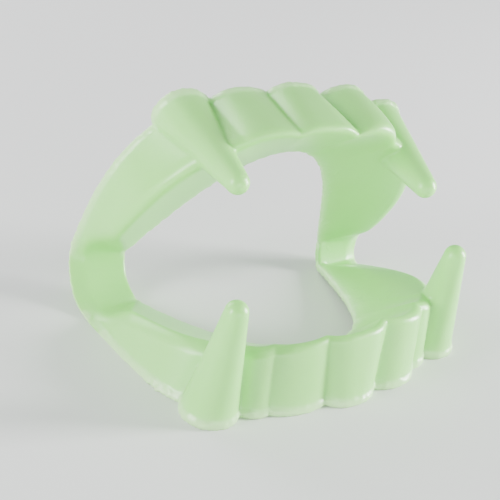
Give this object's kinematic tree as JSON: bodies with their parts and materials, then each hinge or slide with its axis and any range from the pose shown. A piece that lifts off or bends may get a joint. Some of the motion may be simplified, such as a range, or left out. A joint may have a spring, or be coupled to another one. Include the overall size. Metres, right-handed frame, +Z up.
{
  "type": "vampire fang denture",
  "caption": "One-piece soft plastic novelty denture with an upper and a lower tooth arch, pointed fangs and open tooth channels, joined by bends at the back.",
  "frame": {"origin": "middle of the width and depth, on the plane that the lower rim rests on", "axes": "+Z up, the mouth opens towards -Y, +X to the wearer's left"},
  "size_m": [0.062, 0.0498, 0.045],
  "materials": {
    "glow_plastic": "satin pale green phosphorescent plastic"
  },
  "bodies": {
    "root": {"denture": "glow_plastic"}
  },
  "joints": []
}
